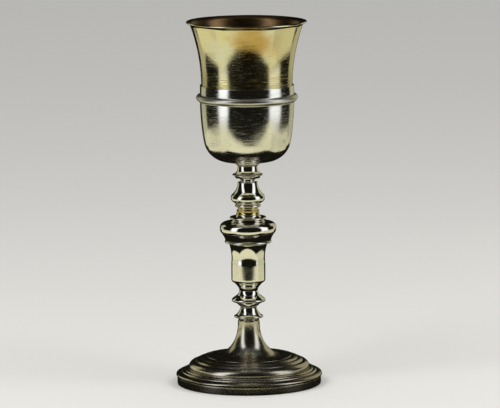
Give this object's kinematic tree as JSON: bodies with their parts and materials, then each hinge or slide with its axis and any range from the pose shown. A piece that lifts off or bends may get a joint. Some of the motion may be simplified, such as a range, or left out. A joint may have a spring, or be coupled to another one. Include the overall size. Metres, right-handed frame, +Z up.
{
  "type": "communion chalice",
  "caption": "Silver communion chalice with a gilt cup in a plain calyx, a turned stem with knops, and a stepped round foot, clamped by a tie rod and wing nut.",
  "frame": {"origin": "centre of the foot's underside, on the table", "axes": "+Z up along the axis of the stem, +X and +Y any level directions, as the chalice is turned"},
  "size_m": [0.1064, 0.1064, 0.265],
  "materials": {
    "silver": "polished silver, worn",
    "foot_silver": "polished silver, duller",
    "gilding": "worn gilding on silver",
    "hidden_brass": "unpolished brass",
    "iron": "plain steel rod"
  },
  "bodies": {
    "stand": {"foot_band": "foot_silver", "foot_ledge": "foot_silver", "foot_dome": "foot_silver", "foot_trumpet": "foot_silver", "seat_plate": "hidden_brass", "washer": "hidden_brass", "stem_flange": "silver", "stem_spool": "silver", "vase_foot": "silver", "vase_body": "silver", "knop_base": "silver", "knop_cushion": "silver", "knop_flange": "silver", "gilt_spool": "gilding", "knop_ring": "silver", "bell_knop": "silver", "upper_flange": "silver", "upper_spool": "silver"},
    "bowl": {"cup": "gilding", "cup_boss": "hidden_brass", "calyx": "silver", "calyx_bead": "silver", "collar_ring": "silver", "tie_rod": "iron"},
    "nut": {"wing_nut": "hidden_brass"}
  },
  "joints": [
    {"name": "nut_turn", "type": "hinge", "parent": "stand", "child": "nut", "pos_m": [0, 0, 0.022], "axis": [0, 0, -1], "range_deg": [0, 2880]},
    {"name": "cup_lift", "type": "slide", "parent": "stand", "child": "bowl", "axis": [0, 0, 1], "range_m": [0, 0.008]}
  ],
  "couplings": [
    {"joint": "nut_turn", "follows": "cup_lift", "rad_per_m": 6283.1}
  ]
}
